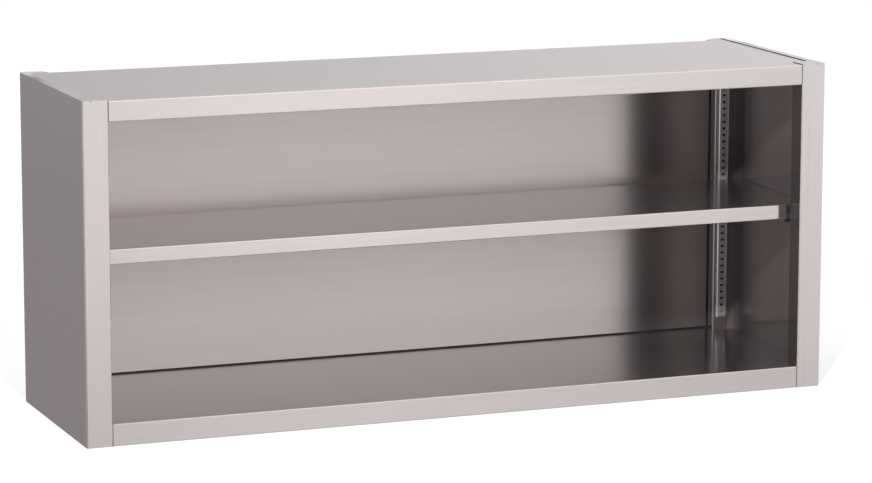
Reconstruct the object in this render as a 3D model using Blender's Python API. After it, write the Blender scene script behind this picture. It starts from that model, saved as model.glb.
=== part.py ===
"""Open-front wall cabinet of folded stainless steel sheet, 1400 x 400 x 600 mm.

The front faces -Y, the wall side +Y, and z = 0 is the underside. Every panel is drawn as the
outer skin of its folded sheet: a flat plate with flanges folded off its edges. The folds are
then rounded to the bend radius, and the skin is thickened inwards to the sheet's gauge.
"""

from math import asin, cos, pi, sin

import bmesh
import bpy
from mathutils import Vector

# Overall size
WIDTH = 1.400
DEPTH = 0.400
HEIGHT = 0.600

# Sheet metal practice, shared by all panels
SHEET = 0.0012
BEND_RADIUS = 0.002
RELIEF = 0.003
SLIT = 0.001
SEAM = 0.0003
OVERRUN = 0.006
BEND_STEPS = 3

# Corner posts, folded from the side panels
POST_WIDTH = 0.046
POST_DEPTH = 0.040
SIDE_TOP_FLANGE = 0.016

# Keyholes in the rear flanges, for hanging on the wall
KEYHOLE_HEAD_RADIUS = 0.0065
KEYHOLE_NECK_RADIUS = 0.0035
KEYHOLE_RISE = 0.014
KEYHOLE_FROM_END = 0.080
KEYHOLE_STEPS = 12

# Top panel
TOP_LIP = 0.0365
TOP_HEM = 0.012
TOP_REAR_FLANGE = 0.020

# Bottom panel
FLOOR_HEIGHT = 0.040
FLOOR_HEM = 0.012
FLOOR_REAR_UPSTAND = 0.020
FLOOR_END_FLANGE = 0.028

# Back panel
BACK_RECESS = 0.016
BACK_RETURN = 0.012
BACK_JOINT = 0.003
BACK_LAP_CLEARANCE = 0.002

# Slotted strips
STRIP_WIDTH = 0.0195
STRIP_RISE = 0.0045
STRIP_INSET = 0.007
STRIP_SHEET = 0.001
STRIP_BEND = 0.0015
STRIP_FOOT = 0.0255
STRIP_HEAD = 0.0155
SLOT_WIDTH = 0.006
SLOT_HEIGHT = 0.0034
SLOT_PITCH = 0.0127
FIRST_SLOT = 0.0238

# Shelf clips
CLIP_SLOT = 17
CLIP_WIDTH = 0.018
CLIP_SHEET = 0.0015
CLIP_REACH = 0.034
CLIP_DROP = 0.015
CLIP_END_LIP = 0.012
CLIP_RISE = 0.0045
CLIP_FILLET = 0.001
CLIP_FILLET_STEPS = 4
LEDGE_ABOVE_SLOT = 0.003
TONGUE_CLEARANCE = 0.0004
TONGUE_HOLD = 0.0022
CLIP_TRAVEL = 0.0042

# Shelf
SHELF_LIP = 0.027
SHELF_HEM = 0.012
SHELF_END_HEM = 0.025
SHELF_END_CLEARANCE = 0.0018
SHELF_POST_CLEARANCE = 0.0055
SHELF_FRONT_CLEARANCE = 0.004
SHELF_CLIP_CLEARANCE = 0.0015

# Hat channels that stiffen the shelf and the floor
HAT_CROWN = 0.040
HAT_FLANGE = 0.015
HAT_END_SPACE = 0.060
SHELF_HAT_DEPTH = 0.020
FLOOR_HAT_DEPTH = 0.030

# Places that several pieces share
half_width = WIDTH / 2
half_depth = DEPTH / 2
post_lip = STRIP_INSET + STRIP_WIDTH
bay_half = half_width - POST_WIDTH
post_plane = half_depth - POST_DEPTH
sheet_top = HEIGHT - SHEET - SEAM
under_top = sheet_top - SHEET - SEAM
back_face = half_depth - BACK_RECESS
lap_face = back_face + SHEET + SEAM
back_half = bay_half - SEAM
lap_half = back_half - BEND_RADIUS - BACK_LAP_CLEARANCE
strip_face = post_plane - STRIP_RISE
strip_foot = FLOOR_HEIGHT + STRIP_FOOT
strip_length = HEIGHT - STRIP_HEAD - strip_foot
slot_count = int((strip_length - 2 * FIRST_SLOT) / SLOT_PITCH) + 1
ledge_top = strip_foot + FIRST_SLOT + CLIP_SLOT * SLOT_PITCH + LEDGE_ABOVE_SLOT
shelf_bottom = ledge_top + SEAM


def steel(name, colour, roughness):
    """A metallic material with the given base colour and roughness."""
    material = bpy.data.materials.new(name)
    material.use_nodes = True
    shader = material.node_tree.nodes["Principled BSDF"]
    shader.inputs["Base Color"].default_value = (*colour, 1.0)
    shader.inputs["Roughness"].default_value = roughness
    shader.inputs["Metallic"].default_value = 1.0
    return material


def add_piece(name, bm, place, material, turn=0.0, parent=None):
    """Makes the named object from the mesh, at its place, turned about the upright axis."""
    mesh = bpy.data.meshes.new(name)
    bm.to_mesh(mesh)
    bm.free()
    mesh.materials.append(material)
    piece = bpy.data.objects.new(name, mesh)
    bpy.context.collection.objects.link(piece)
    piece.location = place
    piece.rotation_euler.z = turn
    if parent is not None:
        piece.parent = parent
    return piece


def add_cutter(name, bm, parent):
    """A hidden shape that cuts, or is joined to, the piece that it is parented to."""
    mesh = bpy.data.meshes.new(name)
    bm.to_mesh(mesh)
    bm.free()
    cutter = bpy.data.objects.new(name, mesh)
    bpy.context.collection.objects.link(cutter)
    cutter.parent = parent
    cutter.hide_render = True
    cutter.display_type = "WIRE"
    return cutter


def combine(piece, cutter, operation):
    """Cuts the piece with the cutter, or joins the two into one body."""
    modifier = piece.modifiers.new(cutter.name, "BOOLEAN")
    modifier.operation = operation
    modifier.object = cutter
    modifier.solver = "EXACT"


def start_sheet():
    """An empty skin, with the layer that marks which of its edges are folds."""
    bm = bmesh.new()
    bm.edges.layers.float.new("bevel_weight_edge")
    return bm


def plate(bm, points):
    """The flat plate that a panel starts from: returns its corners in the given order."""
    corners = [bm.verts.new(point) for point in points]
    bm.faces.new(corners)
    return corners


def fold(bm, start, end, across, outline):
    """Folds a flange off the edge that the plate's outline runs along from start to end.

    outline gives the flange's free corners, from start's side to end's side, each as its
    distance along the edge from start and its distance across the flange. It returns them.
    """
    along = (end.co - start.co).normalized()
    direction = Vector(across)
    corners = [bm.verts.new(start.co + along * u + direction * v) for u, v in outline]
    bm.faces.new([end, start] + corners)
    marks = bm.edges.layers.float["bevel_weight_edge"]
    bm.edges.get((start, end))[marks] = 1.0
    return corners


def flange(bm, start, end, across, width, start_mitre=0.0, end_mitre=0.0):
    """Folds a plain flange of one width, whose ends may be mitred. Returns its free corners."""
    length = (end.co - start.co).length
    return fold(bm, start, end, across, [(start_mitre, width), (length - end_mitre, width)])


def mirror(bm):
    """Turns a right-hand skin into the left-hand one."""
    for corner in bm.verts:
        corner.co.x = -corner.co.x
    bmesh.ops.reverse_faces(bm, faces=bm.faces[:])


def thicken(piece, sheet, radius):
    """Rounds the marked folds to the outer radius and gives the skin its sheet thickness."""
    if radius > 0.0:
        bend = piece.modifiers.new("folds", "BEVEL")
        bend.limit_method = "WEIGHT"
        bend.offset_type = "OFFSET"
        bend.width = radius
        bend.segments = BEND_STEPS
        bend.use_clamp_overlap = False
    solid = piece.modifiers.new("sheet", "SOLIDIFY")
    solid.thickness = sheet
    solid.offset = -1.0
    solid.use_even_offset = True
    piece.data.shade_smooth()
    piece.data.set_sharp_from_angle(angle=pi / 4)


def prism(bm, outline, start, end, place):
    """Extrudes an outline from start to end along x. place turns (u, v) into (y, z)."""
    first = [bm.verts.new((start, *place(u, v))) for u, v in outline]
    last = [bm.verts.new((end, *place(u, v))) for u, v in outline]
    bm.faces.new(first)
    bm.faces.new(last[::-1])
    for i in range(len(outline)):
        j = (i + 1) % len(outline)
        bm.faces.new([first[i], last[i], last[j], first[j]])
    bmesh.ops.recalc_face_normals(bm, faces=bm.faces[:])


def block(bm, low, high):
    """A rectangular block between two corners."""
    size = Vector(high) - Vector(low)
    middle = (Vector(high) + Vector(low)) / 2
    made = bmesh.ops.create_cube(bm, size=1.0)
    for corner in made["verts"]:
        corner.co = middle + Vector(a * b for a, b in zip(corner.co, size))


def keyhole_outline():
    """A round head with a narrower neck above it, as (x, z) points about the head's centre."""
    head, neck = KEYHOLE_HEAD_RADIUS, KEYHOLE_NECK_RADIUS
    meet = asin(neck / head)
    sweep = 2 * (pi - meet)
    points = []
    for i in range(KEYHOLE_STEPS + 1):
        angle = pi / 2 + meet + sweep * i / KEYHOLE_STEPS
        points.append((head * cos(angle), head * sin(angle)))
    for i in range(KEYHOLE_STEPS + 1):
        angle = pi * i / KEYHOLE_STEPS
        points.append((neck * cos(angle), KEYHOLE_RISE + neck * sin(angle)))
    return points


def side_panel(name, side, material):
    """Side wall whose front and rear edges are folded three times into square corner posts.

    The origin is on the outer face of the wall. The top edge behind the front post is folded
    inwards over the top panel's end. The rear post stops under the top panel, but for its
    outer face, which stands behind it.
    """
    front, rear = -half_depth, half_depth
    flange_front = -post_plane + SLIT
    slit_foot = HEIGHT - BEND_RADIUS - RELIEF
    bm = start_sheet()
    wall = plate(bm, [
        (0.0, front, 0.0),
        (0.0, rear, 0.0),
        (0.0, rear, HEIGHT - RELIEF),
        (0.0, rear - RELIEF, HEIGHT - RELIEF),
        (0.0, rear - RELIEF, HEIGHT),
        (0.0, flange_front, HEIGHT),
        (0.0, flange_front, slit_foot),
        (0.0, flange_front - SLIT, slit_foot),
        (0.0, flange_front - SLIT, HEIGHT),
        (0.0, front, HEIGHT),
    ])
    flange(bm, wall[4], wall[5], (-1, 0, 0), SIDE_TOP_FLANGE)

    face = flange(bm, wall[9], wall[0], (-1, 0, 0), POST_WIDTH)
    inner = flange(bm, face[0], face[1], (0, 1, 0), POST_DEPTH)
    flange(bm, inner[0], inner[1], (1, 0, 0), post_lip)

    face = fold(bm, wall[1], wall[2], (-1, 0, 0), [
        (0.0, POST_WIDTH),
        (under_top, POST_WIDTH),
        (under_top, POST_WIDTH - RELIEF),
        (HEIGHT, POST_WIDTH - RELIEF),
        (HEIGHT, RELIEF),
        (HEIGHT - RELIEF, RELIEF),
    ])
    inner = flange(bm, face[0], face[1], (0, -1, 0), POST_DEPTH)
    flange(bm, inner[0], inner[1], (1, 0, 0), post_lip)

    if side < 0:
        mirror(bm)
    panel = add_piece(name, bm, (side * half_width, 0.0, 0.0), material)
    thicken(panel, SHEET, BEND_RADIUS)

    holes = bmesh.new()
    middle = -side * POST_WIDTH / 2
    for height in (KEYHOLE_FROM_END, HEIGHT - KEYHOLE_FROM_END):
        near = []
        far = []
        for x, z in keyhole_outline():
            near.append(holes.verts.new((middle + x, rear - SHEET - OVERRUN, height + z)))
            far.append(holes.verts.new((middle + x, rear + OVERRUN, height + z)))
        holes.faces.new(near)
        holes.faces.new(far[::-1])
        for i in range(len(near)):
            j = (i + 1) % len(near)
            holes.faces.new([near[i], far[i], far[j], near[j]])
    bmesh.ops.recalc_face_normals(holes, faces=holes.faces[:])
    combine(panel, add_cutter(name + "_keyholes", holes, panel), "DIFFERENCE")
    return panel


def lapped_rear_edge(rear, half, end_rear):
    """Rear outline of a panel, right to left, slit at both ends of the flange folded off it.

    Beyond the slits the panel runs back to end_rear, and sideways to half.
    """
    return [
        (half, end_rear),
        (lap_half + SLIT, end_rear),
        (lap_half + SLIT, rear - RELIEF),
        (lap_half, rear - RELIEF),
        (lap_half, rear),
        (-lap_half, rear),
        (-lap_half, rear - RELIEF),
        (-lap_half - SLIT, rear - RELIEF),
        (-lap_half - SLIT, end_rear),
        (-half, end_rear),
    ]


def top_panel(material):
    """Top sheet, notched round the front posts, with a hemmed front lip and a rear flange.

    Its ends lie under the top flanges of the sides and close the tops of the rear posts.
    """
    front = -half_depth
    behind_post = -post_plane + SEAM
    tongue = bay_half - SEAM
    edge = half_width - BEND_RADIUS - SEAM
    outline = [(-tongue, front), (tongue, front), (tongue, behind_post), (edge, behind_post)]
    outline += lapped_rear_edge(lap_face + SHEET, edge, half_depth - SHEET - SEAM)
    outline += [(-edge, behind_post), (-tongue, behind_post)]
    bm = start_sheet()
    sheet = plate(bm, [(x, y, 0.0) for x, y in outline])
    lip = flange(bm, sheet[0], sheet[1], (0, 0, -1), TOP_LIP)
    flange(bm, lip[0], lip[1], (0, 1, 0), TOP_HEM)
    flange(bm, sheet[8], sheet[9], (0, 0, -1), TOP_REAR_FLANGE)
    panel = add_piece("top_panel", bm, (0.0, 0.0, sheet_top), material)
    thicken(panel, SHEET, BEND_RADIUS)


def bottom_panel(material):
    """Floor sheet, notched round all four posts, lipped in front and turned up behind."""
    front = -half_depth
    behind_post = -post_plane + SEAM
    before_post = post_plane - SEAM
    tongue = bay_half - SEAM
    end = half_width - SHEET - SEAM
    outline = [(-tongue, front), (tongue, front), (tongue, behind_post), (end, behind_post)]
    outline += [(end, before_post), (tongue, before_post)]
    outline += lapped_rear_edge(lap_face, tongue, lap_face)
    outline += [(-tongue, before_post), (-end, before_post)]
    outline += [(-end, behind_post), (-tongue, behind_post)]
    bm = start_sheet()
    sheet = plate(bm, [(x, y, 0.0) for x, y in outline])
    lip = flange(bm, sheet[0], sheet[1], (0, 0, -1), FLOOR_HEIGHT)
    flange(bm, lip[0], lip[1], (0, 1, 0), FLOOR_HEM)
    flange(bm, sheet[3], sheet[4], (0, 0, -1), FLOOR_END_FLANGE)
    flange(bm, sheet[10], sheet[11], (0, 0, 1), FLOOR_REAR_UPSTAND)
    flange(bm, sheet[17], sheet[18], (0, 0, -1), FLOOR_END_FLANGE)
    panel = add_piece("bottom_panel", bm, (0.0, 0.0, FLOOR_HEIGHT), material)
    thicken(panel, SHEET, BEND_RADIUS)


def back_panel(material):
    """Recessed back sheet, with its ends turned back against the rear posts."""
    foot = FLOOR_HEIGHT + BACK_JOINT
    bm = start_sheet()
    sheet = plate(bm, [
        (-back_half, 0.0, foot),
        (back_half, 0.0, foot),
        (back_half, 0.0, under_top),
        (-back_half, 0.0, under_top),
    ])
    flange(bm, sheet[1], sheet[2], (0, 1, 0), BACK_RETURN)
    flange(bm, sheet[3], sheet[0], (0, 1, 0), BACK_RETURN)
    panel = add_piece("back_panel", bm, (0.0, back_face, 0.0), material)
    thicken(panel, SHEET, BEND_RADIUS)


def post_cap(name, side, top, material):
    """Plate let into the end of a front post, with a tab that fills the gap beside the lip."""
    inner = -POST_WIDTH + SHEET + SEAM
    outer = -SHEET - SEAM
    front = SHEET + SEAM
    rear = POST_DEPTH - SHEET - SEAM
    tab = -POST_WIDTH + post_lip + SEAM
    outline = [
        (inner, front),
        (outer, front),
        (outer, POST_DEPTH),
        (tab, POST_DEPTH),
        (tab, rear),
        (inner, rear),
    ]
    bm = start_sheet()
    plate(bm, [(x, y, 0.0) for x, y in outline])
    if side < 0:
        mirror(bm)
    cap = add_piece(name, bm, (side * half_width, -half_depth, top), material)
    thicken(cap, SHEET, 0.0)


def slotted_strip(name, side, end, material):
    """Shallow channel with a row of slots, standing on the lip of a post.

    The origin is at the foot of the strip, on its slotted face. end is -1 for the front
    posts, whose strips face the rear, and 1 for the rear posts, whose strips face the front.
    """
    half = STRIP_WIDTH / 2
    bm = start_sheet()
    face = plate(bm, [
        (half, 0.0, 0.0),
        (-half, 0.0, 0.0),
        (-half, 0.0, strip_length),
        (half, 0.0, strip_length),
    ])
    leg = STRIP_RISE - SEAM
    flange(bm, face[1], face[2], (0, -1, 0), leg)
    flange(bm, face[3], face[0], (0, -1, 0), leg)
    middle = bay_half + STRIP_INSET + half
    turn = 0.0 if end < 0 else pi
    place = (side * middle, end * strip_face, strip_foot)
    strip = add_piece(name, bm, place, material, turn)
    thicken(strip, STRIP_SHEET, STRIP_BEND)

    slots = bmesh.new()
    for i in range(slot_count):
        height = FIRST_SLOT + i * SLOT_PITCH
        low = (-SLOT_WIDTH / 2, -STRIP_SHEET - OVERRUN, height - SLOT_HEIGHT / 2)
        high = (SLOT_WIDTH / 2, OVERRUN, height + SLOT_HEIGHT / 2)
        block(slots, low, high)
    combine(strip, add_cutter(name + "_slots", slots, strip), "DIFFERENCE")


def clip_outline():
    """Side view of a clip, as (y, z) points: an upright plate with a ledge, turned down at its end.

    The corner under the ledge is filleted.
    """
    thick = CLIP_SHEET
    points = [
        (0.0, CLIP_RISE + SLOT_PITCH - LEDGE_ABOVE_SLOT),
        (0.0, -CLIP_DROP),
        (thick, -CLIP_DROP),
    ]
    for i in range(CLIP_FILLET_STEPS + 1):
        angle = pi / 2 * i / CLIP_FILLET_STEPS
        y = thick + CLIP_FILLET * (1 - cos(angle))
        z = -thick - CLIP_FILLET * (1 - sin(angle))
        points.append((y, z))
    points += [
        (CLIP_REACH - thick, -thick),
        (CLIP_REACH - thick, -CLIP_END_LIP),
        (CLIP_REACH, -CLIP_END_LIP),
        (CLIP_REACH, 0.0),
        (thick, 0.0),
        (thick, CLIP_RISE + SLOT_PITCH - LEDGE_ABOVE_SLOT),
    ]
    return points


def shelf_clip(name, side, end, material):
    """Clip that hooks into two slots of a strip and carries a corner of the shelf.

    The origin is on the back of the plate, level with the top of the ledge. Two tongues
    reach through neighbouring slots. end is as for the strips.
    """
    half = CLIP_WIDTH / 2
    bm = bmesh.new()
    prism(bm, clip_outline(), -half, half, lambda y, z: (y, z))
    middle = bay_half + STRIP_INSET + STRIP_WIDTH / 2
    turn = 0.0 if end < 0 else pi
    place = (side * middle, end * (strip_face - SEAM), ledge_top)
    clip = add_piece(name, bm, place, material, turn)

    tongues = bmesh.new()
    across = SLOT_WIDTH / 2 - TONGUE_CLEARANCE
    tall = SLOT_HEIGHT / 2 - TONGUE_CLEARANCE
    for step in (0, 1):
        height = step * SLOT_PITCH - LEDGE_ABOVE_SLOT
        low = (-across, -SEAM - STRIP_SHEET - TONGUE_HOLD, height - tall)
        high = (across, CLIP_SHEET / 2, height + tall)
        block(tongues, low, high)
    combine(clip, add_cutter(name + "_tongues", tongues, clip), "UNION")


def shelf(material):
    """Folded shelf tray: lips all round, hems below them, front corners cut back.

    The origin is on the underside of the hems. The front corners clear the strips and clips
    of the front posts. The end hems are wide enough to rest on the clips.
    """
    front = -post_plane + SHELF_FRONT_CLEARANCE
    reach = strip_face - SEAM - CLIP_SHEET - CLIP_TRAVEL - SHELF_CLIP_CLEARANCE
    lip_end = bay_half - SHELF_POST_CLEARANCE
    end = half_width - SHEET - SHELF_END_CLEARANCE
    outline = [
        (-lip_end, front),
        (lip_end, front),
        (lip_end, -reach),
        (end, -reach),
        (end, reach - RELIEF),
        (end - RELIEF, reach - RELIEF),
        (end - RELIEF, reach),
        (-end + RELIEF, reach),
        (-end + RELIEF, reach - RELIEF),
        (-end, reach - RELIEF),
        (-end, -reach),
        (-lip_end, -reach),
    ]
    down = (0, 0, -1)
    bm = start_sheet()
    sheet = plate(bm, [(x, y, SHELF_LIP) for x, y in outline])
    lip = flange(bm, sheet[0], sheet[1], down, SHELF_LIP)
    flange(bm, lip[0], lip[1], (0, 1, 0), SHELF_HEM)
    lip = flange(bm, sheet[3], sheet[4], down, SHELF_LIP)
    flange(bm, lip[0], lip[1], (-1, 0, 0), SHELF_END_HEM, 0.0, SHELF_END_HEM)
    lip = flange(bm, sheet[6], sheet[7], down, SHELF_LIP)
    flange(bm, lip[0], lip[1], (0, -1, 0), SHELF_HEM, SHELF_HEM, SHELF_HEM)
    lip = flange(bm, sheet[9], sheet[10], down, SHELF_LIP)
    flange(bm, lip[0], lip[1], (1, 0, 0), SHELF_END_HEM, SHELF_END_HEM, 0.0)
    tray = add_piece("shelf", bm, (0.0, 0.0, shelf_bottom), material)
    thicken(tray, SHEET, BEND_RADIUS)
    return tray


def hat_channel(name, depth, place, material, parent=None):
    """Hat-section stiffener whose two flanges lie under a sheet. Its origin is on their top."""
    long_half = bay_half - HAT_END_SPACE
    crown_half = HAT_CROWN / 2
    bm = start_sheet()
    crown = plate(bm, [
        (-long_half, -crown_half, -depth),
        (-long_half, crown_half, -depth),
        (long_half, crown_half, -depth),
        (long_half, -crown_half, -depth),
    ])
    web = flange(bm, crown[1], crown[2], (0, 0, 1), depth - SHEET)
    flange(bm, web[0], web[1], (0, 1, 0), HAT_FLANGE)
    web = flange(bm, crown[3], crown[0], (0, 0, 1), depth - SHEET)
    flange(bm, web[0], web[1], (0, -1, 0), HAT_FLANGE)
    channel = add_piece(name, bm, place, material, parent=parent)
    thicken(channel, SHEET, BEND_RADIUS)


for leftover in list(bpy.data.objects):
    bpy.data.objects.remove(leftover, do_unlink=True)

side_panel("side_panel_left", -1, steel("left_side_steel", (0.46, 0.45, 0.45), 0.34))
side_panel("side_panel_right", 1, steel("right_side_steel", (0.46, 0.45, 0.45), 0.34))
top_panel(steel("top_steel", (0.52, 0.51, 0.51), 0.36))
bottom_panel(steel("floor_steel", (0.48, 0.47, 0.46), 0.34))
back_panel(steel("back_steel", (0.45, 0.44, 0.43), 0.32))

for side, side_name in ((-1, "left"), (1, "right")):
    for top, top_name in ((SHEET, "bottom"), (HEIGHT, "top")):
        cap_name = "post_cap_" + top_name + "_" + side_name
        post_cap(cap_name, side, top, steel(cap_name + "_steel", (0.50, 0.49, 0.49), 0.38))
    for end, end_name in ((-1, "front"), (1, "rear")):
        tail = end_name + "_" + side_name
        strip_steel = steel("strip_" + tail + "_steel", (0.42, 0.42, 0.42), 0.30)
        slotted_strip("slotted_strip_" + tail, side, end, strip_steel)
        clip_steel = steel("clip_" + tail + "_steel", (0.50, 0.50, 0.50), 0.28)
        shelf_clip("shelf_clip_" + tail, side, end, clip_steel)

shelf_tray = shelf(steel("shelf_steel", (0.50, 0.49, 0.48), 0.34))
under_shelf = (0.0, 0.0, SHELF_LIP - SHEET - SEAM)
hat_channel("shelf_stiffener", SHELF_HAT_DEPTH, under_shelf,
            steel("shelf_stiffener_steel", (0.44, 0.44, 0.44), 0.40), shelf_tray)
under_floor = (0.0, 0.0, FLOOR_HEIGHT - SHEET - SEAM)
hat_channel("floor_stiffener", FLOOR_HAT_DEPTH, under_floor,
            steel("floor_stiffener_steel", (0.44, 0.44, 0.44), 0.40))
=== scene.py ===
from math import cos, pi, radians, sin

import bpy
import numpy as np
from mathutils import Matrix, Vector


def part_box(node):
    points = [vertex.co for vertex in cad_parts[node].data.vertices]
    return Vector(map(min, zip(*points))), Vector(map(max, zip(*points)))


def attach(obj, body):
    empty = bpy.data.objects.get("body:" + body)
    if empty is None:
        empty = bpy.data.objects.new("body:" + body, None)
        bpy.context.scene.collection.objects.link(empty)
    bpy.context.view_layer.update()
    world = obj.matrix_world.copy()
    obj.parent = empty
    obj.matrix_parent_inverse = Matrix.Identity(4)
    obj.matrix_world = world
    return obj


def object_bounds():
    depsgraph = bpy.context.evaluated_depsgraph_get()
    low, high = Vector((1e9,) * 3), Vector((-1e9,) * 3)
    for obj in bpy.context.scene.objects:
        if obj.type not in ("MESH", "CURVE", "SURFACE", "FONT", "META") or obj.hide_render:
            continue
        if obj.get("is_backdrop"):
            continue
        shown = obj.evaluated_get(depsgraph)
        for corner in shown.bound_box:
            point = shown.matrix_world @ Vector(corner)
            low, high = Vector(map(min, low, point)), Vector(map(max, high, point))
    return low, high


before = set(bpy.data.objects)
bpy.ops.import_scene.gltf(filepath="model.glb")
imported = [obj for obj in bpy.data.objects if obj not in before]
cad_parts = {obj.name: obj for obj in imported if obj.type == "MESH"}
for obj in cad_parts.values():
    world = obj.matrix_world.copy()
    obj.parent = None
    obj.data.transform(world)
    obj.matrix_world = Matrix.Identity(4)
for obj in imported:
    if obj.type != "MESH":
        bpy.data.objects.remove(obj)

cad_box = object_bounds()

# Camera.
# A long lens from the front left and a little above, level but for a hair of roll. Its
# place and focal length were fitted to the cabinet's edges in the photograph.
view_yaw = radians(21.42)
view_pitch = radians(10.22)
view_roll = radians(-0.08)
camera_place = Vector((-2.38426, -6.12530, 1.46698))
focal_pixels = 3681.0
image_width = 872.0

scene = bpy.context.scene
forward = Vector((sin(view_yaw) * cos(view_pitch), cos(view_yaw) * cos(view_pitch), -sin(view_pitch)))
level = Vector((cos(view_yaw), -sin(view_yaw), 0.0))
right = level * cos(view_roll) + forward.cross(level) * sin(view_roll)
below = forward.cross(right)
lens = bpy.data.cameras.new("long_lens")
lens.sensor_width = 36.0
lens.lens = focal_pixels / image_width * lens.sensor_width
lens.clip_end = 100.0
camera = bpy.data.objects.new("long_lens", lens)
scene.collection.objects.link(camera)
turn = Matrix((right, -below, -forward)).transposed()
camera.matrix_world = Matrix.Translation(camera_place) @ turn.to_4x4()
scene.camera = camera

# Studio.
# A pale floor in a soft white room, which the steel shows: a broad lit panel up before the
# open front, a darker corner behind the camera, a greyer one behind the left side, and a
# paler ceiling and floor beyond both.
bearing_headroom = 1.3
rise_headroom = 2.0
behind_blend = 0.25
ceiling_begins = 24.0
ceiling_is_full = 44.0
ceiling_least_tone = 0.80
matt_tone = (0.6, 0.6, 0.6, 1.0)
white = (1.0, 1.0, 1.0, 1.0)
scene.view_settings.view_transform = "Standard"


def add_node(tree, kind, inputs=(), **settings):
    """A new shader node. inputs maps its sockets to numbers, colours or other sockets."""
    node = tree.nodes.new("ShaderNode" + kind)
    for name, value in settings.items():
        setattr(node, name, value)
    for slot, value in dict(inputs).items():
        if isinstance(value, bpy.types.NodeSocket):
            tree.links.new(value, node.inputs[slot])
        else:
            node.inputs[slot].default_value = value
    return node


def maths(tree, operation, *values):
    """The result of one sum on numbers or sockets."""
    return add_node(tree, "Math", enumerate(values), operation=operation).outputs[0]


def vector_maths(tree, operation, inputs):
    """The result of one sum on vectors or colours."""
    return add_node(tree, "VectorMath", inputs, operation=operation).outputs[0]


def mixed(tree, share, first, second, **settings):
    """A colour between two others. The share is the second one's."""
    inputs = {"Factor": share, "A": first, "B": second}
    return add_node(tree, "Mix", inputs, data_type="RGBA", **settings).outputs["Result"]


def eased(tree, value, low, high):
    """0 under the low value and 1 over the high one, with a smooth step between."""
    inputs = {"Value": value, "From Min": low, "From Max": high}
    return add_node(tree, "MapRange", inputs, interpolation_type="SMOOTHSTEP").outputs["Result"]


def tone_ramp(tree, angle, span, headroom, stops):
    """Tones over an angle in degrees: each stop is an angle, a tone and its tint.

    Tones are divided by the headroom, because a ramp holds nothing brighter than 1.
    """
    low, high = span
    along = add_node(tree, "MapRange", {"Value": angle, "From Min": low, "From Max": high})
    node = add_node(tree, "ValToRGB", {"Fac": along.outputs["Result"]})
    marks = node.color_ramp.elements
    while len(marks) < len(stops):
        marks.new(1.0)
    for mark, (place, tone, tint) in zip(marks, stops):
        mark.position = (place - low) / (high - low)
        mark.color = (*(tone * share / headroom for share in tint), 1.0)
    return node.outputs["Color"]


plain = (1.0, 1.0, 1.0)
warm = (1.04, 0.99, 1.00)
cool = (0.98, 1.0, 1.0)
bluish = (0.98, 1.04, 1.04)

room = bpy.data.worlds.new("white_room")
scene.world = room
room.use_nodes = True
tree = room.node_tree
direction = add_node(tree, "TexCoord").outputs["Generated"]
towards = add_node(tree, "SeparateXYZ", {0: direction}).outputs
forwards = maths(tree, "MULTIPLY", towards["Y"], -1.0)
bearing = maths(tree, "DEGREES", maths(tree, "ARCTAN2", towards["X"], forwards))
rise = maths(tree, "DEGREES", maths(tree, "ARCSINE", towards["Z"]))

# Round the room, by bearing: 0 is straight before the open front and 90 is to its right.
round_room = tone_ramp(tree, bearing, (-180, 180), bearing_headroom, [
    (-180, 0.50, warm), (-172, 0.28, warm), (-130, 0.28, warm), (-95, 0.80, plain), (-50, 0.60, plain),
    (-38, 0.13, plain), (-11, 0.13, plain), (-3, 0.88, plain), (14, 0.90, plain), (20, 1.19, plain),
    (28, 0.93, plain), (60, 0.95, plain), (120, 0.96, plain), (150, 0.93, cool), (166, 0.57, cool),
    (180, 0.50, warm),
])
# Up the room, by rise above the level: before the front, and behind the back.
up_front = tone_ramp(tree, rise, (-90, 90), rise_headroom, [
    (-90, 0.50, plain), (-35, 0.60, plain), (-13.5, 0.70, plain), (-10, 1.00, plain), (-6, 1.08, bluish),
    (2, 0.95, plain), (12, 0.80, plain), (24, 1.55, plain), (46, 1.40, plain), (60, 0.80, plain),
    (90, 0.70, plain),
])
up_back = tone_ramp(tree, rise, (-90, 90), rise_headroom, [
    (-90, 0.80, plain), (-13, 1.00, plain), (-9.5, 1.03, plain), (-7.5, 1.16, bluish), (5, 1.00, plain),
    (45, 0.95, plain), (60, 0.80, plain), (90, 0.70, plain),
])
behind = eased(tree, towards["Y"], -behind_blend, behind_blend)
up_room = mixed(tree, behind, up_front, up_back)
# The darker corners end where the room's ceiling and floor begin.
least = [ceiling_least_tone / bearing_headroom] * 3
corners_lit = vector_maths(tree, "MAXIMUM", {0: round_room, 1: least})
far_from_level = eased(tree, maths(tree, "ABSOLUTE", rise), ceiling_begins, ceiling_is_full)
all_round = mixed(tree, far_from_level, round_room, corners_lit)
both = vector_maths(tree, "MULTIPLY", {0: all_round, 1: up_room})
shown = vector_maths(tree, "SCALE", {0: both, "Scale": bearing_headroom * rise_headroom})

# Steel sees those tones. The camera sees the room white, and its light on matt things is even.
ray = add_node(tree, "LightPath").outputs
unpolished = mixed(tree, ray["Is Camera Ray"], matt_tone, white)
seen = mixed(tree, ray["Is Glossy Ray"], unpolished, shown)
tree.links.new(seen, tree.nodes["Background"].inputs["Color"])

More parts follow.
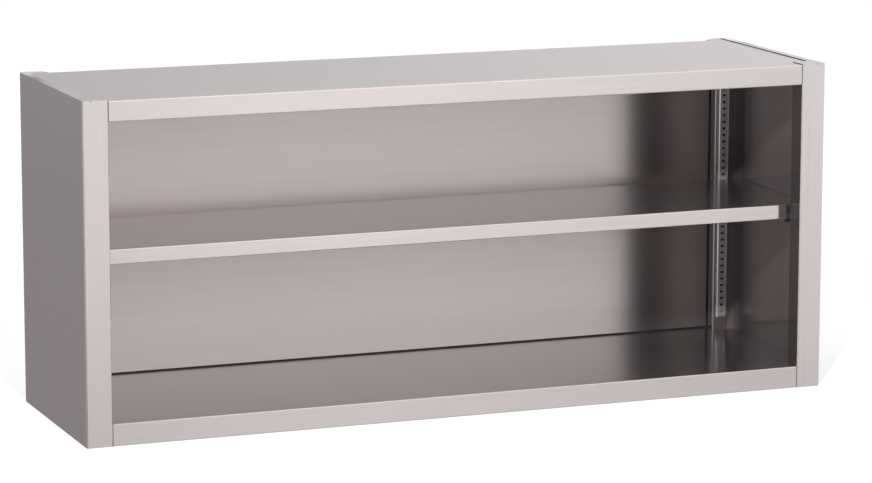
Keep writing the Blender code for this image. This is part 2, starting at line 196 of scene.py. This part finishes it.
# The floor glows to the camera alone, so that it is white but keeps the cabinet's shadow.
floor_tone = (0.97, 0.97, 0.97, 1.0)
floor_glow = 0.5
floor_reach = 40.0
pale = bpy.data.materials.new("pale_floor")
pale.use_nodes = True
tree = pale.node_tree
tree.nodes.clear()
matt = add_node(tree, "BsdfDiffuse", {"Color": floor_tone}).outputs[0]
glow = add_node(tree, "Emission").outputs[0]
to_camera = add_node(tree, "LightPath").outputs["Is Camera Ray"]
glow_share = maths(tree, "MULTIPLY", to_camera, floor_glow)
surface = add_node(tree, "MixShader", {0: glow_share, 1: matt, 2: glow}).outputs[0]
add_node(tree, "OutputMaterial", {"Surface": surface})
corners = [(x * floor_reach, y * floor_reach, 0.0) for x, y in ((-1, -1), (1, -1), (1, 1), (-1, 1))]
mesh = bpy.data.meshes.new("floor")
mesh.from_pydata(corners, [], [(0, 1, 2, 3)])
mesh.materials.append(pale)
floor = bpy.data.objects.new("floor", mesh)
scene.collection.objects.link(floor)
floor.visible_glossy = False
floor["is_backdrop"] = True


def add_lamp(name, kind, power):
    """A lamp that shows neither to the camera nor in the steel."""
    light = bpy.data.lights.new(name, kind)
    light.energy = power
    lamp = bpy.data.objects.new(name, light)
    scene.collection.objects.link(lamp)
    lamp.visible_camera = False
    lamp.visible_glossy = False
    return lamp


# A small lamp before the front throws the faint triangles of light on the right inner wall.
key_place = Vector((-0.8, -2.25, 1.83))
key_aim = Vector((0.3, 0.0, 0.3))
key_lamp = add_lamp("key_lamp", "AREA", power=90.0)
key_lamp.data.size = 0.12
key_lamp.location = key_place
key_lamp.rotation_euler = (key_place - key_aim).to_track_quat("Z", "Y").to_euler()
overhead_fill = add_lamp("overhead_fill", "SUN", power=1.45)
overhead_fill.data.angle = radians(60.0)

# Side panels.
# Each side is one sheet of stainless steel, folded three times at the front and three times
# at the rear into square corner posts, and brushed upright. Thin knock-out blanks of like
# steel fill the two keyholes of its rear flange.
steel_tone = (0.655, 0.588, 0.585)
cloud_shares = (0.039, 0.024, 0.018)
fold_glint = (1.18, 1.18, 1.18)
grain_along = 6.0
grain_across = 900.0
streak_depth = 0.06
band_depth = 0.04
gloss_change = 0.1
groove_strength = 0.03
groove_depth = 0.001
flat_enough = 0.995
well_bent = 0.93
least_fold_glint = 0.35


def shared_effect(name, inputs, outputs):
    """An empty node group and its two ends. inputs and outputs map names to socket kinds."""
    group = bpy.data.node_groups.new(name, "ShaderNodeTree")
    for names, way in ((inputs, "INPUT"), (outputs, "OUTPUT")):
        for socket, kind in names.items():
            group.interface.new_socket(socket, in_out=way, socket_type="NodeSocket" + kind)
    start = group.nodes.new("NodeGroupInput")
    end = group.nodes.new("NodeGroupOutput")
    return group, start.outputs, end.inputs


def brush_grain_group():
    """Shared effect: brushed streaks at two scales and soft cloudy variation.

    Streaks and bands are noise on a place that is drawn out along the grain, and clouds are
    broad noise on the plain place. Each row gives a result, its place, its scale and detail.
    """
    group, start, end = shared_effect("brush_grain", {"Along Grain": "Vector", "Plain Place": "Vector"},
                                      {"Streaks": "Float", "Bands": "Float", "Clouds": "Float"})
    rows = (
        ("Streaks", "Along Grain", 1.0, 3.0),
        ("Bands", "Along Grain", 0.12, 2.0),
        ("Clouds", "Plain Place", 4.0, 2.0),
    )
    for result, place, scale, detail in rows:
        inputs = {"Vector": start[place], "Scale": scale, "Detail": detail, "Roughness": 0.6}
        group.links.new(add_node(group, "TexNoise", inputs).outputs["Fac"], end[result])
    return group


def fold_wear_and_glint_group():
    """Shared effect: a mask of the rounded folds, broken up by noise, for their wear and a painted
    highlight.

    On a fold the normal points along no axis, so its largest part is well under 1. The mask
    runs from 0 where that part is flat_enough to 1 where it is well_bent, times the noise.
    """
    group, start, end = shared_effect("fold_wear_and_glint", {"Place": "Vector", "Normal": "Vector"},
                                      {"Mask": "Float"})
    size = vector_maths(group, "ABSOLUTE", {0: start["Normal"]})
    parts = add_node(group, "SeparateXYZ", {0: size}).outputs
    largest = maths(group, "MAXIMUM", parts["X"], maths(group, "MAXIMUM", parts["Y"], parts["Z"]))
    turned = add_node(group, "MapRange", {"Value": largest, "From Min": flat_enough,
                                          "From Max": well_bent})
    noise = add_node(group, "TexNoise", {"Vector": start["Place"], "Scale": 60.0, "Detail": 4.0})
    broken = add_node(group, "MapRange", {"Value": noise.outputs["Fac"], "From Min": 0.35,
                                          "From Max": 0.60, "To Min": least_fold_glint})
    mask = maths(group, "MULTIPLY", turned.outputs["Result"], broken.outputs["Result"])
    group.links.new(mask, end["Mask"])
    return group


def soft_band_group():
    """Shared effect: 1 where a value lies between two bounds, fading to 0 over a soft width.

    It is the product of two slopes, each the way in from a bound over the width, from 0 to 1.
    """
    inputs = {"Value": "Float", "Low": "Float", "High": "Float", "Soft": "Float"}
    group, start, end = shared_effect("soft_band", inputs, {"Mask": "Float"})
    slopes = []
    for over, under in (("Value", "Low"), ("High", "Value")):
        steps = maths(group, "DIVIDE", maths(group, "SUBTRACT", start[over], start[under]), start["Soft"])
        slopes.append(maths(group, "MINIMUM", maths(group, "MAXIMUM", steps, 0.0), 1.0))
    group.links.new(maths(group, "MULTIPLY", *slopes), end["Mask"])
    return group


brush_grain = brush_grain_group()
fold_wear_and_glint = fold_wear_and_glint_group()
soft_band = soft_band_group()


def patch_mask(tree, place, patch):
    """1 inside a patch's bounds, fading to 0 inwards of them.

    The bounds are along x, to either side of the middle, y and z. Bounds with a pitch come
    again and again: the place is measured from the nearest of them.
    """
    mask = None
    for axis in "xyz":
        if axis not in patch:
            continue
        value = place[axis]
        low, high = patch[axis]
        if axis + "_pitch" in patch:
            pitch = patch[axis + "_pitch"]
            half = (high - low) / 2
            steps = maths(tree, "DIVIDE", maths(tree, "SUBTRACT", value, low + half), pitch)
            value = maths(tree, "MULTIPLY", maths(tree, "FRACT", maths(tree, "ADD", steps, 0.5)), pitch)
            low, high = pitch / 2 - half, pitch / 2 + half
        fade = patch.get(axis + "_fade", patch["fade"])
        band = {"Value": value, "Low": low, "High": high, "Soft": fade}
        found = add_node(tree, "Group", band, node_tree=soft_band).outputs["Mask"]
        mask = found if mask is None else maths(tree, "MULTIPLY", mask, found)
    return mask


def tinted(tree, colour, mask, tint):
    """The colour, multiplied by the tint where the mask is 1."""
    return mixed(tree, mask, colour, (*tint, 1.0), blend_type="MULTIPLY")


def brushed_steel(name, colour, grain_axis, rough=0.20, drawn_out=1.0, metal=0.96, patches=()):
    """Brushed stainless steel, whose grain runs along the axis X, Y or Z of the piece.

    The grain draws reflections out across itself, so the shader's tangent runs round the
    axis. Streaks, bands and clouds vary the tone, and streaks the gloss and the relief too.
    Patches are places with a tint, such as dark joints, painted shade in recesses, and painted light in
    corners that many reflections make paler, and some are less metallic. Folds are rubbed bright, and so
    carry a painted highlight.
    """
    material = bpy.data.materials.new(name)
    material.use_nodes = True
    tree = material.node_tree
    shader = tree.nodes["Principled BSDF"].inputs
    shader["Metallic"].default_value = metal
    shader["Anisotropic"].default_value = drawn_out
    across = add_node(tree, "Tangent", direction_type="RADIAL", axis=grain_axis)
    tree.links.new(across.outputs["Tangent"], shader["Tangent"])
    where = add_node(tree, "TexCoord").outputs
    stretch = [grain_along if axis == grain_axis else grain_across for axis in "XYZ"]
    drawn = add_node(tree, "Mapping", {"Vector": where["Object"], "Scale": stretch})
    places = {"Along Grain": drawn.outputs["Vector"], "Plain Place": where["Object"]}
    grain = add_node(tree, "Group", places, node_tree=brush_grain).outputs

    darker = [tone * (1.0 - share) for tone, share in zip(colour, cloud_shares)]
    lighter = [tone * (1.0 + share) for tone, share in zip(colour, cloud_shares)]
    base = mixed(tree, grain["Clouds"], (*darker, 1.0), (*lighter, 1.0))
    for output, depth in (("Streaks", streak_depth), ("Bands", band_depth)):
        shade = add_node(tree, "MapRange", {"Value": grain[output], "To Min": 1.0 - depth,
                                            "To Max": 1.0 + depth})
        base = vector_maths(tree, "SCALE", {0: base, "Scale": shade.outputs["Result"]})

    parts = add_node(tree, "SeparateXYZ", {0: where["Object"]}).outputs
    place = {"x": maths(tree, "ABSOLUTE", parts["X"]), "y": parts["Y"], "z": parts["Z"]}
    share = metal
    for patch in patches:
        mask = patch_mask(tree, place, patch)
        base = tinted(tree, base, mask, patch["tint"])
        if "less_metal" in patch:
            less_metal_mix = add_node(tree, "Mix", {"Factor": mask, "A": share, "B": patch["less_metal"]})
            share = less_metal_mix.outputs["Result"]
            tree.links.new(share, shader["Metallic"])
    # Folds are rubbed bright, and this also paints their highlight.
    skin = {"Place": where["Object"], "Normal": where["Normal"]}
    glinting_folds = add_node(tree, "Group", skin, node_tree=fold_wear_and_glint).outputs["Mask"]
    tree.links.new(tinted(tree, base, glinting_folds, fold_glint), shader["Base Color"])

    gloss = add_node(tree, "MapRange", {"Value": grain["Streaks"], "To Min": rough * (1.0 - gloss_change),
                                        "To Max": rough * (1.0 + gloss_change)})
    tree.links.new(gloss.outputs["Result"], shader["Roughness"])
    relief = add_node(tree, "Bump", {"Height": grain["Streaks"], "Strength": groove_strength,
                                     "Distance": groove_depth})
    tree.links.new(relief.outputs["Normal"], shader["Normal"])
    return material


def toned(share):
    """The sheets' steel, a little darker or lighter."""
    return tuple(tone * share for tone in steel_tone)


def grey(tone):
    """An even tint."""
    return (tone, tone, tone)


def finish_node(name, material):
    """Gives a CAD node its finish."""
    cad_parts[name].data.materials.clear()
    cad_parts[name].data.materials.append(material)


# Faces and edges of the right-hand side, which patches mirror on the left. The bay lies
# between the posts.
panel_low, panel_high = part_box("side_panel_right")
strip_low, strip_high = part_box("slotted_strip_rear_right")
strip_gap = 0.0003
flange_width = 0.016
bay_edge = panel_low[0]
side_face = panel_high[0]
front_face = panel_low[1]
rear_face = panel_high[1]
top_edge = panel_high[2]
post_face = strip_high[1] + strip_gap
flange_edge = side_face - flange_width

# Patches reach a little past the skins that they lie on, so that they fade beyond them.
past_rear = rear_face + 0.1
wall_darkens_from = 0.040
wall_pale_from = 0.118
inner_wall = (side_face - 0.0120, side_face - 0.0005)
shade_behind_strips = dict(tint=grey(0.10), fade=0.001, x=(strip_low[0] + 0.001, strip_high[0] - 0.001),
                  z=(strip_low[2] + 0.0015, strip_high[2] - 0.0015))
side_patches = [
    # Painted shade: the posts are dark behind the strips.
    dict(shade_behind_strips, y=(post_face - 0.0025, post_face + 0.0020)),
    dict(shade_behind_strips, y=(-post_face - 0.0020, -post_face + 0.0025)),
    # Painted shade also darkens the flanges that turn in beside the bay, at the front and at the rear.
    dict(tint=grey(0.50), fade=0.0006, x=(bay_edge - 0.0010, bay_edge + 0.0006),
         y=(front_face + 0.0015, -post_face + 0.0010)),
    dict(tint=grey(0.70), fade=0.0006, x=(bay_edge - 0.0010, bay_edge + 0.0018),
         y=(post_face - 0.0015, rear_face - 0.0015)),
    # Painted shade darkens the inner wall towards the rear, and painted light makes its last part pale,
    # where it is also less metallic.
    dict(tint=grey(0.45), fade=0.0004, y_fade=0.06, x=inner_wall, y=(wall_darkens_from, past_rear)),
    dict(tint=grey(2.40), fade=0.0004, y_fade=0.03, x=inner_wall, y=(wall_pale_from, past_rear),
         less_metal=0.86),
    # Painted light makes the hollow of the rear post pale in the same way, and less metallic.
    dict(tint=grey(1.35), fade=0.0004, x=(bay_edge + 0.0016, side_face - 0.0004),
         y=(post_face + 0.0002, rear_face - 0.0004), less_metal=0.84),
    # A dark line runs along the free edge of the top flange: the edge of the sheet, and painted shadow in
    # the gap under it.
    dict(tint=grey(0.20), fade=0.0002, x=(flange_edge - 0.001, flange_edge + 0.001),
         z=(top_edge - 0.0020, top_edge - 0.0001)),
]
side_steel = brushed_steel("side_sheet_brushed_upright", toned(0.965), "Z", rough=0.18, drawn_out=0.7,
                           metal=0.93, patches=side_patches)
for side in ("left", "right"):
    finish_node("side_panel_" + side, side_steel)


def wrapped_grid(rows, columns):
    """Four-sided faces of a grid of points, each of whose rows closes on itself."""
    row, column = np.meshgrid(np.arange(rows - 1), np.arange(columns), indexing="ij")
    here = row * columns + column
    beside = row * columns + (column + 1) % columns
    return np.stack([here + columns, beside + columns, beside, here], axis=-1).reshape(-1, 4)


def fan(rim, tip):
    """Three-sided faces from each stretch of a closed rim to one point."""
    return np.stack([rim, np.roll(rim, -1), np.full(len(rim), tip)], axis=-1)


def add_piece(name, points, faces, material, places=((0.0, 0.0, 0.0),)):
    """A new piece of the carcass: one small mesh, repeated at each of the places.

    faces is a list of arrays. All faces in one array have the same number of sides.
    """
    moved = np.concatenate([points + np.array(place) for place in places])
    numbered = [face for copy in range(len(places)) for group in faces
                for face in (group + copy * len(points)).tolist()]
    mesh = bpy.data.meshes.new(name)
    mesh.from_pydata(moved.tolist(), [], numbered)
    mesh.materials.append(material)
    piece = bpy.data.objects.new(name, mesh)
    scene.collection.objects.link(piece)
    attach(piece, "carcass")
    return piece


blank_head = 0.0064
blank_neck = 0.0034
neck_rise = 0.014
blank_faces = (rear_face - 0.0008, rear_face - 0.0004)
keyhole_from_end = 0.080
arc_steps = 12


def keyhole_blanks(name, side):
    """Knock-out blanks that fill a rear flange's keyholes: a round head under a narrower neck.

    The outline is the head's arc outside the neck and the half round that ends the neck. It
    is carried through the flange from one face to the other. Each face is a fan round a point.
    """
    meet = np.arcsin(blank_neck / blank_head)
    head_turn = np.linspace(pi / 2 + meet, 5 * pi / 2 - meet, arc_steps + 1)
    neck_turn = np.linspace(0.0, pi, arc_steps + 1)
    x = np.concatenate([blank_head * np.cos(head_turn), blank_neck * np.cos(neck_turn)])
    z = np.concatenate([blank_head * np.sin(head_turn), neck_rise + blank_neck * np.sin(neck_turn)])
    count = len(x)
    outlines = [np.stack([x, np.full(count, y), z], axis=-1) for y in blank_faces]
    middles = [(0.0, y, neck_rise / 2) for y in blank_faces]
    points = np.concatenate([*outlines, middles])
    rim = np.arange(count)
    faces = [fan(rim, 2 * count), fan(rim[::-1] + count, 2 * count + 1), wrapped_grid(2, count)]
    middle = side * (bay_edge + side_face) / 2
    places = [(middle, 0.0, height) for height in (keyhole_from_end, top_edge - keyhole_from_end)]
    piece = add_piece(name, points, faces, side_steel, places)


keyhole_blanks("keyhole_blanks_left", -1)
keyhole_blanks("keyhole_blanks_right", 1)

# Top panel.
# A sheet with a hemmed front lip and a rear flange, brushed along its length. Its ends lie
# under the sides' top flanges, to which they are spot-welded.
# The lips' ends are dark where they meet the posts.
lip_seam = dict(tint=grey(0.35), fade=0.0003, x=(bay_edge - 0.0014, bay_edge + 0.0005),
                y=(front_face - 0.0010, front_face + 0.0015))
top_steel = brushed_steel("top_sheet_brushed_lengthwise", toned(1.10), "X", patches=[
    dict(lip_seam, z=(0.0, top_edge - 0.002)),
])
finish_node("top_panel", top_steel)

# Bottom panel.
# The cabinet's floor is a sheet with a hemmed front lip, end flanges and a rear upstand, brushed
# along its length and welded between the sides.
floor_height = 0.040
# Behind its lip, the floor is a little darker and cooler, and its steel darker than the sides': painted
# shade.
floor_steel = brushed_steel("floor_sheet_brushed_lengthwise", toned(0.935), "X", rough=0.14, patches=[
    dict(tint=(0.93, 0.98, 0.99), fade=0.0005, y=(front_face + 0.002, rear_face),
         z=(floor_height - 0.0016, floor_height + 0.0200)),
    dict(lip_seam, z=(-0.001, floor_height + 0.001)),
])
finish_node("bottom_panel", floor_steel)

# Back panel and the dark bead in its joint.
# The recessed back is a sheet brushed along its length and welded between the rear posts. A
# thin dark bead closes its joint with the floor and the posts: a dark piece that stands in for the
# joint's shade.
# The back's upper part is a little lighter: painted light.
back_lit_heights = (0.28, top_edge + 0.1)
back_steel = brushed_steel("back_sheet_brushed_lengthwise", toned(0.96), "X", rough=0.30, patches=[
    dict(tint=grey(1.09), fade=0.06, z=back_lit_heights),
])
finish_node("back_panel", back_steel)

# The bead's dark colour is painted shade.
joint_shade_dark = (0.012, 0.009, 0.009, 1.0)
joint_shade_light = (0.022, 0.017, 0.017, 1.0)
joint_shade_fill = bpy.data.materials.new("joint_fill_painted_shade")
joint_shade_fill.use_nodes = True
tree = joint_shade_fill.node_tree
shader = tree.nodes["Principled BSDF"].inputs
place = add_node(tree, "TexCoord").outputs["Object"]
speckle = add_node(tree, "TexNoise", {"Vector": place, "Scale": 300.0}).outputs["Fac"]
tree.links.new(mixed(tree, speckle, joint_shade_dark, joint_shade_light), shader["Base Color"])
rubbed = add_node(tree, "MapRange", {"Value": speckle, "To Min": 0.55, "To Max": 0.75})
tree.links.new(rubbed.outputs["Result"], shader["Roughness"])

back_low, back_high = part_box("back_panel")
bead_across = 0.0024
bead_up = 0.0027
bead_face = back_low[1] - 0.0002
bead_rear = back_low[1] + 0.0016
bead_top = back_high[2] - 0.0005
bead_hollow = 0.0003
bead_points = 7


def joint_shade_bead(name, outer, inner):
    """A bead laid in a U-shaped joint, from its outer outline across to its inner one.

    Across the bead, its face is hollowed by bead_hollow times 4u(1 - u), for u from 0 to 1.
    """
    u = np.linspace(0.0, 1.0, bead_points)
    across = outer[:, None, :] * (1.0 - u[:, None]) + inner[:, None, :] * u[:, None]
    depth = np.broadcast_to(bead_face + bead_hollow * 4.0 * u * (1.0 - u), across.shape[:2])
    front = np.stack([across[..., 0], depth, across[..., 1]], axis=-1)
    back = front[:, ::-1].copy()
    back[..., 1] = bead_rear
    ring = np.concatenate([front, back], axis=1)
    rows, columns = ring.shape[:2]
    first = np.arange(columns)
    ends = np.stack([first, first[::-1] + (rows - 1) * columns])
    piece = add_piece(name, ring.reshape(-1, 3), [wrapped_grid(rows, columns), ends], joint_shade_fill)
    piece.data.shade_smooth()
    piece.data.set_sharp_from_angle(angle=pi / 4)


def u_outline(half_width, foot):
    """Down one end of the back, along its foot and up the other end, as (x, z) points."""
    return np.array([(-half_width, bead_top), (-half_width, foot), (half_width, foot),
                     (half_width, bead_top)])


joint_shade_bead("back_joint_shade_bead", u_outline(bay_edge, floor_height),
             u_outline(bay_edge - bead_across, floor_height + bead_up))

# Shelf and the stiffeners.
# The shelf is a folded tray that rests on four clips, brushed along its length. A hat channel
# of plain mill sheet is spot-welded under it, and a deeper one under the floor.
shelf_low, shelf_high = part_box("shelf")
# Behind its lip, the shelf is a little cooler.
shelf_steel = brushed_steel("shelf_sheet_brushed_lengthwise", toned(1.02), "X", rough=0.14, patches=[
    dict(tint=(0.97, 1.02, 1.03), fade=0.0005, y=(shelf_low[1] + 0.002, rear_face),
         z=(shelf_high[2] - 0.0015, shelf_high[2] + 0.0045)),
])
finish_node("shelf", shelf_steel)
mill_tone = (0.58, 0.57, 0.57)
stiffener_steel = brushed_steel("stiffener_mill_finish", mill_tone, "X", rough=0.34, drawn_out=0.5)
for name in ("shelf_stiffener", "floor_stiffener"):
    finish_node(name, stiffener_steel)

# Post caps.
# Small plates of the top's steel, let into the ends of the front posts, welded all round and
# ground flush.
for end in ("top", "bottom"):
    for side in ("left", "right"):
        finish_node("post_cap_" + end + "_" + side, top_steel)

# Slotted strips, clips and rivets.
# Stamped channels with a row of slots, held to the posts by a domed rivet near each end, and
# the bent clips that carry the shelf, whose tongues go into two of the slots.
strip_tone = (0.80, 0.79, 0.79)
strip_middle = (strip_low[0] + strip_high[0]) / 2
strip_face = strip_low[1]
slot_pitch = 0.0127
first_slot_from_end = 0.0238
first_slot = strip_low[2] + first_slot_from_end
slot_half_width = 0.0035
slot_half_height = 0.0026
strip_patches = [
    # Painted shade darkens the slots' edges, and a painted highlight brightens the legs beside the bay.
    dict(tint=grey(0.12), fade=0.0005, x=(strip_middle - slot_half_width, strip_middle + slot_half_width),
         y=(-strip_face - 0.0003, strip_face + 0.0003),
         z=(first_slot - slot_half_height, first_slot + slot_half_height), z_pitch=slot_pitch),
    dict(tint=grey(1.20), fade=0.0003, x=(strip_low[0] - 0.0006, strip_low[0] + 0.0012)),
]
strip_steel = brushed_steel("strip_mill_finish", strip_tone, "Z", rough=0.16, drawn_out=0.4, metal=0.78,
                            patches=strip_patches)
clip_steel = brushed_steel("clip_mill_finish", grey(0.60), "Y", rough=0.26, drawn_out=0.2)
rivet_steel = brushed_steel("rivet_head_ground", strip_tone, "Z", rough=0.30, drawn_out=0.2)
rivet_radius = 0.0030
rivet_height = 0.0009
rivet_from_end = 0.0110
dome_rings = 5
dome_spokes = 16


def rivet_heads(name, places, outwards):
    """Low domes whose flat backs lie on the strip's slotted face.

    A dome's points stand radius times cos(t) out from its middle, and height times sin(t)
    off the face, for t from 0 to a quarter turn, spun round the dome's axis.
    """
    t = np.linspace(0.0, pi / 2, dome_rings, endpoint=False)[:, None]
    spin = np.linspace(0.0, 2 * pi, dome_spokes, endpoint=False)[None, :]
    x = outwards * rivet_radius * np.cos(t) * np.cos(spin)
    y = np.broadcast_to(outwards * rivet_height * np.sin(t), x.shape)
    z = rivet_radius * np.cos(t) * np.sin(spin)
    dome = np.stack([x, y, z], axis=-1).reshape(-1, 3)
    points = np.concatenate([dome, [(0.0, outwards * rivet_height, 0.0), (0.0, 0.0, 0.0)]])
    foot = np.arange(dome_spokes)
    highest = foot + (dome_rings - 1) * dome_spokes
    tip = dome_rings * dome_spokes
    faces = [wrapped_grid(dome_rings, dome_spokes), fan(highest[::-1], tip), fan(foot, tip + 1)]
    piece = add_piece(name, points, faces, rivet_steel, places)
    piece.data.shade_smooth()


for end, outwards in (("front", 1.0), ("rear", -1.0)):
    for side in ("left", "right"):
        strip = "slotted_strip_" + end + "_" + side
        finish_node(strip, strip_steel)
        finish_node("shelf_clip_" + end + "_" + side, clip_steel)
        low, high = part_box(strip)
        face = high[1] if outwards > 0 else low[1]
        middle = (low[0] + high[0]) / 2
        heights = (low[2] + rivet_from_end, high[2] - rivet_from_end)
        rivet_heads("strip_rivets_" + end + "_" + side, [(middle, face, z) for z in heights], outwards)

as_lists = lambda box: [[float(c) for c in corner] for corner in box]
{"cad": as_lists(cad_box), "visual": as_lists(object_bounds())}
